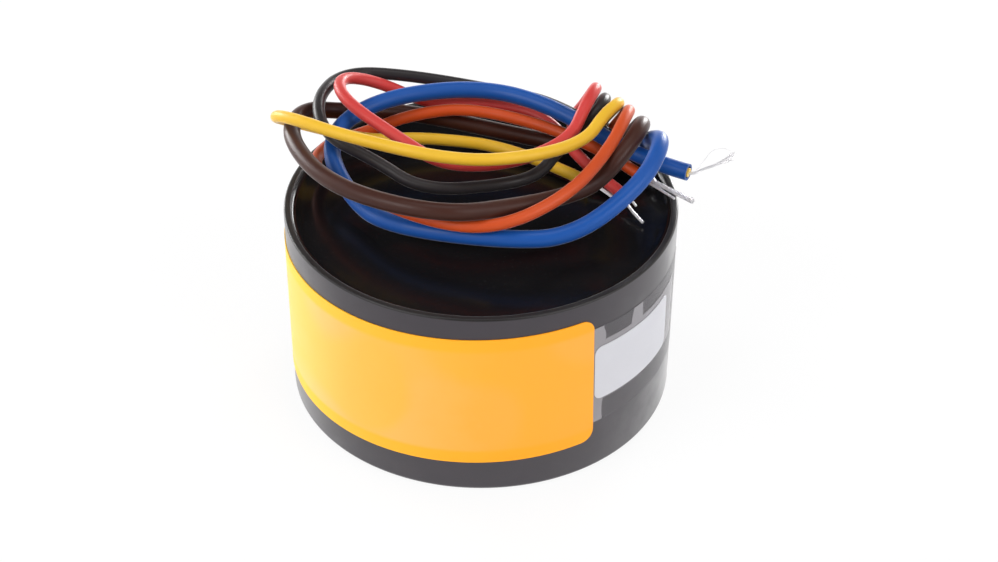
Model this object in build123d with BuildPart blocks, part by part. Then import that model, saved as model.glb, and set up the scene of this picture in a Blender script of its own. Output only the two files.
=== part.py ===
from build123d import *

# Potted toroidal transformer: a round moulded cup filled with casting resin, the wound
# ring core buried inside it, a threaded brass insert in the floor, and six flying leads
# that leave the resin beside the wall and lie in a loose loop above the rim.
# The frame has +Z up, with its origin on the axis at the underside of the cup.

import os
from math import pi, radians, tan

# --- Driving dimensions, in millimetres and degrees ---------------------------------

# cup
case_diameter = 76.0
case_height = 41.0
case_wall = 1.4
case_floor = 2.5
foot_radius = 1.0  # rounding of the lower outside edge
lip_radius = 0.4  # rounding of the rim
boss_radius = 7.0  # post in the middle of the floor that holds the insert
boss_cover = 2.0  # plastic above the insert

# threaded insert, M5
insert_radius = 4.0
insert_length = 12.0
insert_groove_depth = 0.6
insert_groove_width = 2.0
thread_bore_radius = 2.1
thread_bore_depth = 10.0
thread_mouth_chamfer = 0.4

# casting resin
fill_drop = 1.4  # resin surface below the rim
meniscus_rise = 0.5
meniscus_width = 0.9
side_cover = 3.3  # resin between the wound ring and the wall
top_cover = 5.7  # resin above the wound ring
bore_cover = 2.5  # resin between the wound ring and the boss

# wound ring, from the outside in; every layer is thicker in the crowded bore
pad_thickness = 1.0
pad_setback = 0.5  # the pad stops short of where the ring's corners start to round
outer_tape_thickness = 0.4
secondary_outside, secondary_ends, secondary_bore = 1.4, 1.6, 2.4
interwinding_tape_thickness = 0.3
primary_outside, primary_ends, primary_bore = 1.4, 1.6, 2.6
cap_thickness = 0.8
cap_corner = 1.2
cap_gap = 0.8  # between the skirts of the two caps, halfway up the core
core_chamfer = 0.3
leadout_azimuth = 40.0  # where the winding ends leave the ring
leadout_slit = 4.0  # angle left open in each layer for them
primary_arc = 350.0
secondary_arc = 170.0

# Label, clear film and blank patch on the cup's wall. Azimuths run from the front (-Y)
# towards +X. Heights and azimuths are those of the middle of each edge.
front_azimuth = -90.0
label_thickness = 0.2
label_corner = 2.6
label_bottom, label_top = 6.7, 35.9
label_left, label_right = -100.0, 33.3
label_slope = 1.5  # the label rises to the right, and the side edges lean with it
film_thickness = 0.1
film_bottom, film_top = 11.4, 34.0
film_right = 82.0
film_slope = -0.5  # the film and the patch were laid nearly level
patch_thickness = 0.1
patch_bottom, patch_top = 16.9, 29.4
patch_left, patch_right = 33.7, 68.5
patch_corner = 1.6

# leads and the tinned wires in them
mains_diameter = 3.3
secondary_diameter = 2.4
arc_share = 0.45  # part of the shorter run that each rounded corner takes up
inner_sleeve_diameter = 1.8
inner_sleeve_reach = 0.6
strip_straight = 1.0  # bare wire that goes straight on before it bends

# --- Worked out from them -----------------------------------------------------------

case_radius = case_diameter / 2
case_bore = case_radius - case_wall
boss_height = insert_length + boss_cover
fill_level = case_height - fill_drop

# Lead routes: diameter, then the corners of the route as x, y and the height above the
# rim. Each lead starts inside the resin and rises beside the wall, folds forward over
# the bundle, runs once round it and ends at its stripped tip on the right.
lead_routes = {
    "blue": (mains_diameter, [
        (30.5, 15.5, -5), (30.5, 15.5, 0.5), (33.5, 13, 4.5), (32, 5, 10),
        (34, -3, 16), (31, -12.5, 10.5), (17, -20.5, 5.5), (2.5, -21, 5.5),
        (-15.5, -15.5, 4.5), (-23, -5.5, 4.5), (-31, 8, 7.5), (-22, 20, 10),
        (-1.5, 25.5, 10), (14, 18.5, 10), (30.5, 7, 6), (39.5, 2, 5),
    ]),
    "brown": (mains_diameter, [
        (28.5, 19, -5), (28.5, 19, 1), (29.5, 13, 6.5), (31, 5.5, 15),
        (27, -5, 14), (22.5, -8.5, 9), (16, -10.5, 8), (8.5, -15.5, 9),
        (-7, -23, 12.5), (-28, -12, 11.5), (-38, 6, 10.5), (-36, 17.5, 10.5),
        (-27, 21.5, 6.5), (-15, 26.5, 3.5), (10, 21, 0.5), (24.5, 16, 0.5),
        (35, 7, 2.5),
    ]),
    "red": (secondary_diameter, [
        (18.5, 27, -5), (18.5, 27, 1.5), (20.5, 23, 7), (23, 16, 16.5),
        (20, 8.5, 16), (17, 3, 11.5), (5.5, -4, 9.5), (-7, -4.5, 9.5),
        (-15, 4.5, 10.5), (-27, 14.5, 13.5), (-28.5, 24, 13), (-21.5, 28.5, 9.5),
        (-10.5, 25, 6), (-2, 26, 6), (13, 22.5, 5.5), (20, 11.5, 0.5), (27.5, 0, 1),
    ]),
    "black": (secondary_diameter, [
        (21, 26.5, -5), (21, 26.5, 1), (23.5, 22, 7.5), (24.5, 14.5, 14.5),
        (22.5, 8.5, 14.5), (16.5, 3.5, 7.5), (5.5, -3, 5.5), (-11, -4, 4.5),
        (-20.5, 2.5, 7.5), (-30, 5.5, 11), (-32.5, 16.5, 12.5), (-28, 30, 11),
        (-14.5, 30.5, 10), (4.5, 27.5, 8.5), (16, 22, 10), (25.5, 15, 5),
    ]),
    "yellow": (secondary_diameter, [
        (24, 25, -5), (24, 25, 1), (24.5, 18.5, 7), (27.5, 11.5, 15.5),
        (23, 6, 15.5), (20, 0, 13.5), (10.5, -7, 14.5), (-4, -10.5, 15.5),
        (-24.5, -3, 16), (-37, 6, 15), (-41, 12, 11.5), (-38, 17, 7),
        (-28.5, 14.5, 6), (-22, 17.5, 4.5), (-11.5, 19, 2), (7.5, 18, 0), (21, 5, 0.5),
    ]),
    "orange": (secondary_diameter, [
        (26, 22.5, -5), (26, 22.5, 1), (27.5, 17.5, 7), (29.5, 10.5, 14),
        (26.5, 5.5, 15.5), (23, -2, 12.5), (16, -15, 11), (3, -22.5, 8.5),
        (-10, -20, 8), (-24.5, -8.5, 7), (-33.5, 5.5, 4.5), (-31, 15.5, 3.5),
        (-24, 21, 2.5), (-13.5, 21.5, 6), (-0.5, 23, 6.5), (22, 13, 5), (32, 5.5, 1),
    ]),
}

# Bare wires, one or two strands to a lead: the strand's diameter, how far it starts to
# the right of the lead's axis, looking along it, then the points it bends through, as x,
# y and the height above the rim.
wire_routes = {
    "blue": [
        (0.4, 0.3, [(44, 1.2, 6.9), (46.8, 1.4, 8.1), (48, 1, 8.2)]),
        (0.4, -0.3, [(44, 2.2, 7), (46.6, 3.2, 8.1), (49, 4.2, 8.5)]),
    ],
    "brown": [(0.9, 0.0, [(37.6, -1.2, 2.2), (40.7, -3.8, 2)])],
    "red": [
        (0.5, 0.4, [(28.6, -3.6, 0.2), (30.5, -7.1, -0.5)]),
        (0.5, -0.4, [(30.6, -2.7, 0.2)]),
    ],
    "black": [(0.6, 0.0, [(28.3, 12.6, 3.7)])],
    "yellow": [(0.8, 0.0, [(23.2, 2.6, 0.4), (25.6, 1.4, -0.6)])],
    "orange": [
        (0.6, 0.4, [(34.2, 1.9, 1.2), (35.3, -0.6, 1.9)]),
        (0.6, -0.4, [(35.6, 2.2, 1.2), (37.4, -1.1, 1.4)]),
    ],
}


class Ring:
    """Size of a ring about the Z axis whose section is a rectangle with round corners."""

    def __init__(self, inner, outer, bottom, top, corner):
        self.inner, self.outer = inner, outer
        self.bottom, self.top = bottom, top
        self.corner = corner

    def inset(self, outside, ends, bore):
        """Return the ring that is left inside a layer of these thicknesses."""
        return Ring(
            self.inner + bore,
            self.outer - outside,
            self.bottom + ends,
            self.top - ends,
            self.corner - outside,
        )


def draw_section(ring, mode=Mode.ADD):
    """Draw the section of a ring in the open sketch, with radius along its X."""
    with Locations(((ring.inner + ring.outer) / 2, (ring.bottom + ring.top) / 2)):
        RectangleRounded(
            ring.outer - ring.inner, ring.top - ring.bottom, ring.corner, mode=mode
        )


def radial_plane(azimuth, height=0.0):
    """Return the upright plane through the Z axis whose X points along an azimuth."""
    outward = Vector(1, 0, 0).rotate(Axis.Z, azimuth)
    return Plane(origin=(0, 0, height), x_dir=outward, z_dir=outward.rotate(Axis.Z, -90))


def above_rim(points):
    """Return route points, given as heights above the rim, in the part's frame."""
    return [Vector(x, y, case_height + height) for x, y, height in points]


def corner_radii(points):
    """Return the arc radius at each inner corner of a route, as large as its runs allow."""
    runs = [end - start for start, end in zip(points, points[1:])]
    radii = []
    for before, after in zip(runs, runs[1:]):
        half_turn = radians(before.get_angle(after)) / 2
        radii.append(arc_share * min(before.length, after.length) / tan(half_turn))
    return radii


def show_tube(name, tube, path, diameter, radii):
    """Print a tube's bend radii in diameters, and its volume over section times length."""
    bends = ", ".join(f"{radius / diameter:.1f}" for radius in radii)
    filling = tube.volume / (pi * diameter**2 / 4 * path.length)
    print(f"{name}: length {path.length:.1f}, volume ratio {filling:.5f}, bends {bends}")


os.makedirs("parts", exist_ok=True)

# The wound ring is set out from the cup inwards.
wrapped_ring = Ring(
    boss_radius + bore_cover,
    case_bore - side_cover,
    case_floor + pad_thickness,
    fill_level - top_cover,
    cap_corner
    + primary_outside
    + interwinding_tape_thickness
    + secondary_outside
    + outer_tape_thickness,
)
wound_ring = wrapped_ring.inset(*[outer_tape_thickness] * 3)
taped_primary = wound_ring.inset(secondary_outside, secondary_ends, secondary_bore)
primary_ring = taped_primary.inset(*[interwinding_tape_thickness] * 3)
capped_core = primary_ring.inset(primary_outside, primary_ends, primary_bore)
core_ring = capped_core.inset(*[cap_thickness] * 3)
core_middle = (core_ring.bottom + core_ring.top) / 2

# --- Leads and their bare ends ------------------------------------------------------

leads = {}
for lead_name, (diameter, corners) in lead_routes.items():
    points = above_rim(corners)
    radii = corner_radii(points)
    with BuildPart() as lead:
        with BuildLine():
            route = FilletPolyline(*points, radius=radii)
        with BuildSketch(Plane(origin=route @ 0, z_dir=route % 0)):
            Circle(diameter / 2)
        sweep()
    lead.part.label = f"lead_{lead_name}"
    export_step(lead.part, f"parts/lead_{lead_name}.step")
    leads[lead_name] = lead.part
    show_tube(lead.part.label, lead.part, route, diameter, radii)

blue_points = above_rim(lead_routes["blue"][1])
blue_direction = (blue_points[-1] - blue_points[-2]).normalized()

with BuildPart() as inner_sleeve_blue:
    with BuildSketch(Plane(origin=blue_points[-1], z_dir=blue_direction)):
        Circle(inner_sleeve_diameter / 2)
    extrude(amount=inner_sleeve_reach)
inner_sleeve_blue.part.label = "inner_sleeve_blue"
export_step(inner_sleeve_blue.part, "parts/inner_sleeve_blue.step")

for lead_name, strands in wire_routes.items():
    points = above_rim(lead_routes[lead_name][1])
    direction = (points[-1] - points[-2]).normalized()
    rightward = direction.cross(Vector(0, 0, 1)).normalized()
    tip = points[-1]
    if lead_name == "blue":
        tip = tip + direction * inner_sleeve_reach
    with BuildPart() as bare_wire:
        for strand_diameter, offset, bends in strands:
            start = tip + rightward * offset
            strand_points = [start, start + direction * strip_straight, *above_rim(bends)]
            radii = corner_radii(strand_points)
            with BuildLine():
                strand = FilletPolyline(*strand_points, radius=radii)
            with BuildSketch(Plane(origin=strand @ 0, z_dir=strand % 0)):
                Circle(strand_diameter / 2)
            sweep(path=strand)
    bare_wire.part.label = f"bare_wire_{lead_name}"
    export_step(bare_wire.part, f"parts/bare_wire_{lead_name}.step")

# --- Cup, insert and resin ----------------------------------------------------------

with BuildPart() as case:
    with BuildSketch(Plane.XZ):
        with Locations((0, 0)):
            Rectangle(case_radius, case_height, align=(Align.MIN, Align.MIN))
        with Locations((0, case_floor)):
            Rectangle(case_bore, case_height, align=(Align.MIN, Align.MIN), mode=Mode.SUBTRACT)
        with Locations((0, case_floor)):
            Rectangle(boss_radius, boss_height - case_floor, align=(Align.MIN, Align.MIN))
        with Locations((0, 0)):
            Rectangle(insert_radius, insert_length, align=(Align.MIN, Align.MIN), mode=Mode.SUBTRACT)
        with Locations((insert_radius, insert_length / 2)):
            Rectangle(
                insert_groove_depth, insert_groove_width, align=(Align.MAX, Align.CENTER)
            )
    revolve(axis=Axis.Z)
    outside = case.edges().filter_by(GeomType.CIRCLE).sort_by(SortBy.RADIUS)[-2:]
    fillet(outside.sort_by(Axis.Z)[0], foot_radius)
    fillet(case.faces().sort_by(Axis.Z)[-1].edges(), lip_radius)
case.part.label = "case"
export_step(case.part, "parts/case.step")

with BuildPart() as mounting_insert:
    with BuildSketch(Plane.XZ):
        Rectangle(insert_radius, insert_length, align=(Align.MIN, Align.MIN))
        with Locations((insert_radius, insert_length / 2)):
            Rectangle(
                insert_groove_depth,
                insert_groove_width,
                align=(Align.MAX, Align.CENTER),
                mode=Mode.SUBTRACT,
            )
    revolve(axis=Axis.Z)
    with BuildSketch(Plane.XY):
        Circle(thread_bore_radius)
    extrude(amount=thread_bore_depth, mode=Mode.SUBTRACT)
    mouth = mounting_insert.faces().sort_by(Axis.Z)[0].edges().sort_by(SortBy.RADIUS)[0]
    chamfer(mouth, thread_mouth_chamfer)
mounting_insert.part.label = "mounting_insert"
export_step(mounting_insert.part, "parts/mounting_insert.step")

pad_inner = wrapped_ring.inner + wrapped_ring.corner + pad_setback
pad_outer = wrapped_ring.outer - wrapped_ring.corner - pad_setback

with BuildPart() as base_pad:
    with BuildSketch(Plane.XY.offset(case_floor)):
        Circle(pad_outer)
        Circle(pad_inner, mode=Mode.SUBTRACT)
    extrude(amount=pad_thickness)
base_pad.part.label = "base_pad"
export_step(base_pad.part, "parts/base_pad.step")

with BuildPart() as potting_resin:
    with BuildSketch(Plane.XZ):
        with BuildLine():
            surface = Line((0, fill_level), (case_bore - meniscus_width, fill_level))
            climb = TangentArc(
                surface @ 1, (case_bore, fill_level + meniscus_rise), tangent=surface % 1
            )
            Polyline(
                climb @ 1,
                (case_bore, case_floor),
                (boss_radius, case_floor),
                (boss_radius, boss_height),
                (0, boss_height),
                surface @ 0,
            )
        make_face()
        draw_section(wrapped_ring, mode=Mode.SUBTRACT)
        with Locations((pad_inner, case_floor)):
            Rectangle(
                pad_outer - pad_inner,
                pad_thickness,
                align=(Align.MIN, Align.MIN),
                mode=Mode.SUBTRACT,
            )
    revolve(axis=Axis.Z)
    for cast_in in leads.values():
        add(cast_in, mode=Mode.SUBTRACT)
potting_resin.part.label = "potting_resin"
export_step(potting_resin.part, "parts/potting_resin.step")

# --- Wound ring ---------------------------------------------------------------------

with BuildPart() as toroidal_core:
    with BuildSketch(Plane.XY.offset(core_ring.bottom)):
        Circle(core_ring.outer)
        Circle(core_ring.inner, mode=Mode.SUBTRACT)
    extrude(amount=core_ring.top - core_ring.bottom)
    chamfer(toroidal_core.edges().filter_by(GeomType.CIRCLE), core_chamfer)
toroidal_core.part.label = "toroidal_core"
export_step(toroidal_core.part, "parts/toroidal_core.step")

cap_halves = {
    "core_cap_upper": (core_middle + cap_gap / 2, capped_core.top),
    "core_cap_lower": (capped_core.bottom, core_middle - cap_gap / 2),
}
for cap_name, (low, high) in cap_halves.items():
    with BuildPart() as core_cap:
        with BuildSketch(Plane.XZ):
            draw_section(capped_core)
            with Locations((core_ring.inner, core_ring.bottom)):
                Rectangle(
                    core_ring.outer - core_ring.inner,
                    core_ring.top - core_ring.bottom,
                    align=(Align.MIN, Align.MIN),
                    mode=Mode.SUBTRACT,
                )
            with Locations((0, low)):
                Rectangle(
                    case_radius, high - low, align=(Align.MIN, Align.MIN), mode=Mode.INTERSECT
                )
        revolve(axis=Axis.Z)
    core_cap.part.label = cap_name
    export_step(core_cap.part, f"parts/{cap_name}.step")

# Layer over the core: outline, what is left inside it, start azimuth and covered angle.
halves_gap = 180 - secondary_arc
ring_layers = {
    "primary_winding": (
        primary_ring,
        capped_core,
        leadout_azimuth + (360 - primary_arc) / 2,
        primary_arc,
    ),
    "interwinding_tape": (
        taped_primary,
        primary_ring,
        leadout_azimuth + leadout_slit / 2,
        360 - leadout_slit,
    ),
    "secondary_winding_a": (
        wound_ring,
        taped_primary,
        leadout_azimuth + halves_gap / 2,
        secondary_arc,
    ),
    "secondary_winding_b": (
        wound_ring,
        taped_primary,
        leadout_azimuth + 180 + halves_gap / 2,
        secondary_arc,
    ),
    "outer_tape": (
        wrapped_ring,
        wound_ring,
        leadout_azimuth + leadout_slit / 2,
        360 - leadout_slit,
    ),
}
for layer_name, (outline, inside, start, covered) in ring_layers.items():
    with BuildPart() as ring_layer:
        with BuildSketch(radial_plane(start)):
            draw_section(outline)
            draw_section(inside, mode=Mode.SUBTRACT)
        revolve(axis=Axis.Z, revolution_arc=covered)
    ring_layer.part.label = layer_name
    export_step(ring_layer.part, f"parts/{layer_name}.step")

# --- Label, film and patch on the wall ----------------------------------------------

# Skin on the wall: inner radius, thickness, lower and upper edge, left and right edge,
# slope of the lower and upper edge, and corner radius.
wall_skins = {
    "rating_label": (
        case_radius,
        label_thickness,
        (label_bottom, label_top),
        (label_left, label_right),
        label_slope,
        label_corner,
    ),
    "clear_film": (
        case_radius,
        film_thickness,
        (film_bottom, film_top),
        (label_right, film_right),
        film_slope,
        None,
    ),
    "blank_patch": (
        case_radius + film_thickness,
        patch_thickness,
        (patch_bottom, patch_top),
        (patch_left, patch_right),
        film_slope,
        patch_corner,
    ),
}
label_middle = (label_bottom + label_top) / 2
for skin_name, (radius, thickness, heights, azimuths, slope, corner) in wall_skins.items():
    across = radial_plane(front_azimuth + sum(azimuths) / 2).rotated((slope, 0, 0))
    with BuildPart() as wall_skin:
        with BuildSketch(Plane.XY):
            Circle(radius + thickness)
            Circle(radius, mode=Mode.SUBTRACT)
        extrude(amount=case_height)
        for height, kept in zip(heights, (Keep.TOP, Keep.BOTTOM)):
            split(bisect_by=Plane(origin=(0, 0, height), z_dir=across.y_dir), keep=kept)
        for azimuth, kept in zip(azimuths, (Keep.BOTTOM, Keep.TOP)):
            end = radial_plane(front_azimuth + azimuth, label_middle)
            split(bisect_by=end.rotated((label_slope, 0, 0)), keep=kept)
        if corner:
            fillet(wall_skin.edges().sort_by(SortBy.LENGTH)[:4], corner)
    wall_skin.part.label = skin_name
    export_step(wall_skin.part, f"parts/{skin_name}.step")
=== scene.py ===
"""Looks of the potted toroidal transformer: finishes, flying leads, stripped ends, studio."""

from __future__ import annotations

import logging
import math
from collections.abc import Iterable, Sequence
from dataclasses import dataclass, field
from enum import Enum
from typing import Any, ClassVar

import bpy
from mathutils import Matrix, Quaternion, Vector


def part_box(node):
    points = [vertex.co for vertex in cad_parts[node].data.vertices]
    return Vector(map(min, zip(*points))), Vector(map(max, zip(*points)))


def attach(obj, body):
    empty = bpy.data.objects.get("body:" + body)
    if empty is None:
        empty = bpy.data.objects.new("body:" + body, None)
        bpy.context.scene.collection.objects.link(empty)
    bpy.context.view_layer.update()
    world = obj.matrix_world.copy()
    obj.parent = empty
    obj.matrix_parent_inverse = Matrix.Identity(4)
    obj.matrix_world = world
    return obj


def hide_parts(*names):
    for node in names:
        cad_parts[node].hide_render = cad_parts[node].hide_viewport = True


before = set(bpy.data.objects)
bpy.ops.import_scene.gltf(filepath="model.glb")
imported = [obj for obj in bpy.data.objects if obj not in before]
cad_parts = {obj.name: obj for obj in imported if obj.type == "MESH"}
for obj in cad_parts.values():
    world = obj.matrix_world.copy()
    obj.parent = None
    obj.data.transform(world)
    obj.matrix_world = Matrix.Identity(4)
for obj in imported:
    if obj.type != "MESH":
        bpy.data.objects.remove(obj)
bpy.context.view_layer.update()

LOG = logging.getLogger("toroidal_transformer")
MM = 0.001
BODY = "root"

Point = tuple[float, float, float]
Colour = tuple[float, float, float]
Span = tuple[float, float]
Material = bpy.types.Material
Node = bpy.types.Node
Piece = bpy.types.Object
Socket = bpy.types.NodeSocket

UP = Vector((0, 0, 1))
QUARTER = math.pi / 2
WHITE: Colour = (1.0, 1.0, 1.0)
RISING: Span = (0.0, 1.0)
FALLING: Span = (1.0, 0.0)
SMEARED: Span = (0.0, 0.5)  # smear mask where a surface is clean and fully smeared


# ---- Shader helpers ------------------------------------------------------------------


class NodeSheet:
    """One node tree, with short calls to add nodes and feed their sockets."""

    def __init__(self, tree: bpy.types.NodeTree) -> None:
        """Start from an empty tree.

        Args:
            tree: Node tree of a material, a world or a group.
        """
        self.tree = tree
        tree.nodes.clear()

    def feed(self, socket: Socket, value: float | Point | Socket) -> None:
        """Link an input socket to an output, or set its value.

        Args:
            socket: Input socket.
            value: Output socket, number, vector or colour.
        """
        if isinstance(value, Socket):
            self.tree.links.new(value, socket)
        else:
            socket.default_value = (*value, 1.0) if socket.type == "RGBA" else value

    def add(self, kind: str, **settings: Any) -> Node:
        """Add a node.

        Args:
            kind: Type of node, without the ShaderNode prefix.
            settings: Its attributes, and what feeds its inputs, whose names have
                underscores for spaces.

        Returns:
            The new node.
        """
        node = self.tree.nodes.new(kind if "Node" in kind else f"ShaderNode{kind}")
        for name, value in settings.items():
            if hasattr(node, name):
                setattr(node, name, value)
            else:
                self.feed(node.inputs[name.replace("_", " ")], value)
        return node

    def maths(self, operation: str, *values: float | Socket) -> Socket:
        """Add a Math node and return its output.

        Args:
            operation: Blender's name for the operation.
            values: Numbers or output sockets for its inputs, in order.

        Returns:
            The node's output socket.
        """
        node = self.add("Math", operation=operation)
        for socket, value in zip(node.inputs, values):
            self.feed(socket, value)
        return node.outputs[0]

    def blend(
        self, factor: float | Socket, first: Colour | Socket, second: Colour | Socket
    ) -> Socket:
        """Mix two colours.

        Args:
            factor: Share of the second colour.
            first: Colour or colour socket.
            second: Colour or colour socket.

        Returns:
            The mixed colour's socket.
        """
        node = self.add("Mix", data_type="RGBA")
        for name, value in (("Factor", factor), ("A", first), ("B", second)):
            kind = "VALUE" if name == "Factor" else "RGBA"
            self.feed(next(s for s in node.inputs if s.name == name and s.type == kind), value)
        return next(s for s in node.outputs if s.type == "RGBA")

    def span(self, value: Socket, source: Span, target: Span) -> Socket:
        """Map a value smoothly from one range to another, held at its ends.

        Args:
            value: Socket to map.
            source: Low and high of the incoming range.
            target: What they become.

        Returns:
            The mapped value's socket.
        """
        node = self.add(
            "MapRange", interpolation_type="SMOOTHSTEP", Value=value,
            From_Min=source[0], From_Max=source[1], To_Min=target[0], To_Max=target[1],
        )
        return node.outputs["Result"]

    def axes(self, place: Socket) -> bpy.types.NodeOutputs:
        """Return the X, Y and Z of a vector socket."""
        return self.add("SeparateXYZ", Vector=place).outputs

    def on_view(self, mirrored: float | Socket) -> Socket:
        """Return a mask of the rays that see a backdrop: straight, through or off the part.

        Args:
            mirrored: Share of the glossy rays that counts.

        Returns:
            The mask's socket.
        """
        rays = self.add("LightPath").outputs
        direct = self.maths("MAXIMUM", rays["Is Camera Ray"], rays["Is Transmission Ray"])
        glossy = self.maths("MULTIPLY", rays["Is Glossy Ray"], mirrored)
        return self.maths("MAXIMUM", direct, glossy)

    def show(self, output: Node, factor: Socket, first: Node, second: Node) -> None:
        """Send a mix of two shaders to the output.

        Args:
            output: Output node of the material or world.
            factor: Share of the second shader.
            first: Shader node.
            second: Shader node.
        """
        mixed = self.add("MixShader", Fac=factor)
        self.feed(mixed.inputs[1], first.outputs[0])
        self.feed(mixed.inputs[2], second.outputs[0])
        self.feed(output.inputs["Surface"], mixed.outputs[0])


class GroupSheet(NodeSheet):
    """The inside of a shader node group, whose first input is a position."""

    def __init__(self, name: str, inputs: dict[str, float], outputs: Iterable[str]) -> None:
        """Make the group and its sockets.

        Args:
            name: Name of the group.
            inputs: Float inputs and their defaults.
            outputs: Float outputs.
        """
        super().__init__(bpy.data.node_groups.new(name, "ShaderNodeTree"))
        sockets = self.tree.interface
        sockets.new_socket("Position", in_out="INPUT", socket_type="NodeSocketVector")
        for label, value in inputs.items():
            socket = sockets.new_socket(label, in_out="INPUT", socket_type="NodeSocketFloat")
            socket.default_value = value
        for label in outputs:
            sockets.new_socket(label, in_out="OUTPUT", socket_type="NodeSocketFloat")
        self.given = self.add("NodeGroupInput").outputs
        self.results = self.add("NodeGroupOutput").inputs

    def texture(self, kind: str, share: float, **settings: Any) -> bpy.types.NodeOutputs:
        """Add a texture at the group's position.

        Args:
            kind: Type of texture node.
            share: Its scale, as a share of the group's.
            settings: Its other attributes and inputs.

        Returns:
            The texture's output sockets.
        """
        scale = self.maths("MULTIPLY", self.given["Scale"], share)
        return self.add(kind, Vector=self.given["Position"], Scale=scale, **settings).outputs


class Effects:
    """Shader node groups that several finishes share."""

    shade_share = 0.07  # scales against the group's own
    dust_share = 14.0
    smear_limits = (0.42, 0.72)  # texture values over which each mask turns
    speck_limits = (0.05, 0.12)

    def __init__(self) -> None:
        """Build each group once."""
        self.grain = self._grain()
        self.handling = self._handling()

    def _grain(self) -> bpy.types.NodeTree:
        """Build fine moulded or printed grain.

        Returns:
            A group that gives a height and a shade, both from 0 to 1.
        """
        sheet = GroupSheet("fine_grain", {"Scale": 2500.0, "Detail": 4.0}, ("Height", "Shade"))
        for label, share in (("Height", 1.0), ("Shade", self.shade_share)):
            noise = sheet.texture("TexNoise", share, Detail=sheet.given["Detail"])
            sheet.feed(sheet.results[label], noise["Fac"])
        return sheet.tree

    def _handling(self) -> bpy.types.NodeTree:
        """Build dust specks and soft smears from handling.

        Returns:
            A group that gives two masks from 0 to 1.
        """
        sheet = GroupSheet("handling", {"Scale": 120.0, "Amount": 0.5}, ("Smear", "Dust"))
        smear = sheet.texture("TexNoise", share=1.0, Detail=5.0, Roughness=0.6)["Fac"]
        dust = sheet.texture("TexVoronoi", self.dust_share, feature="F1")["Distance"]
        for label, mask in (
            ("Smear", sheet.span(smear, self.smear_limits, RISING)),
            ("Dust", sheet.span(dust, self.speck_limits, FALLING)),
        ):
            amount = sheet.maths("MULTIPLY", mask, sheet.given["Amount"])
            sheet.feed(sheet.results[label], amount)
        return sheet.tree


@dataclass(frozen=True)
class WallPatch:
    """Outline of a thin piece on the cup's wall.

    Azimuths run from the front towards +X, and every edge is placed by its middle.
    """

    node: str
    finish: str
    inner: float
    outer: float
    bottom: float
    top: float
    left: float
    right: float
    slope: float
    corner: float = 0.0

    @property
    def middle(self) -> float:
        """Return the azimuth of its middle."""
        return (self.left + self.right) / 2

    @property
    def upward(self) -> Point:
        """Return the direction across the lower edge, scaled to give heights."""
        rise = math.tan(self.slope)
        return (-math.cos(self.middle) * rise, -math.sin(self.middle) * rise, 1.0)

    def edges(self, azimuth: float, inset: float) -> Span:
        """Return the lower and upper edge's height at an azimuth.

        Args:
            azimuth: Angle from the front.
            inset: Distance by which a rounded corner pulls both edges in.

        Returns:
            Heights of the lower and the upper edge.
        """
        lift = self.outer * math.sin(azimuth - self.middle) * math.tan(self.slope)
        return self.bottom + lift + inset, self.top + lift - inset


LABEL_SLOPE = math.radians(1.5)
FILM_SLOPE = math.radians(-0.5)
LABEL_RIGHT = math.radians(33.3)

LABEL = WallPatch(
    "rating_label", "label_orange", inner=0.03801, outer=0.0382, bottom=0.0067, top=0.0359,
    left=math.radians(-100), right=LABEL_RIGHT, slope=LABEL_SLOPE, corner=0.0026,
)
FILM = WallPatch(
    "clear_film", "clear_film", inner=0.03801, outer=0.0381, bottom=0.0114, top=0.034,
    left=LABEL_RIGHT, right=math.radians(82), slope=FILM_SLOPE,
)
PATCH = WallPatch(
    "blank_patch", "patch_white", inner=0.03811, outer=0.0382, bottom=0.0169, top=0.0294,
    left=math.radians(33.7), right=math.radians(68.5), slope=FILM_SLOPE, corner=0.0016,
)


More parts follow.
